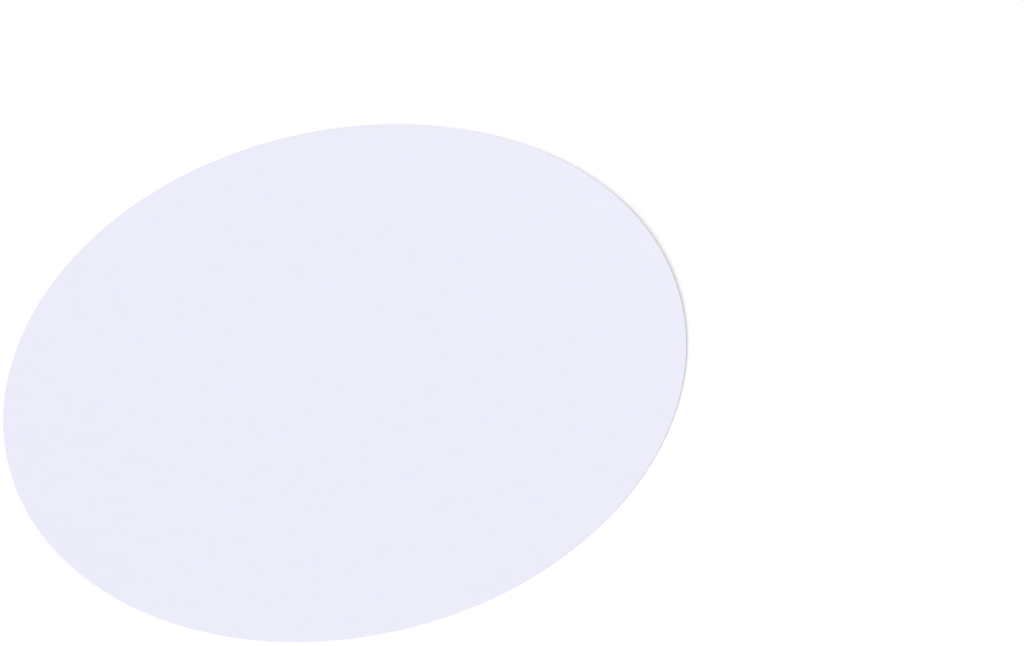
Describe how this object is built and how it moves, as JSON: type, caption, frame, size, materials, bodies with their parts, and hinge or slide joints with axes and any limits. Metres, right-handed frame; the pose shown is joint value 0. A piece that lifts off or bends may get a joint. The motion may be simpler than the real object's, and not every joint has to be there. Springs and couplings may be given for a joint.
{
  "type": "filter paper disc",
  "caption": "Flat round sheet of plain white cellulose filter paper with a die-cut edge, laid in a funnel or filter holder to strain solids from a liquid.",
  "frame": {"origin": "centre of the underside, on the disc's axis", "axes": "+Z along the disc's axis, up through the sheet from the underside to the upper face that the die entered; X and Y lie in the underside, and the disc is the same all round"},
  "size_m": [0.15, 0.15, 0.0002],
  "materials": {
    "filter_paper": "matte"
  },
  "bodies": {
    "root": {"filter_paper": "filter_paper"}
  },
  "joints": []
}
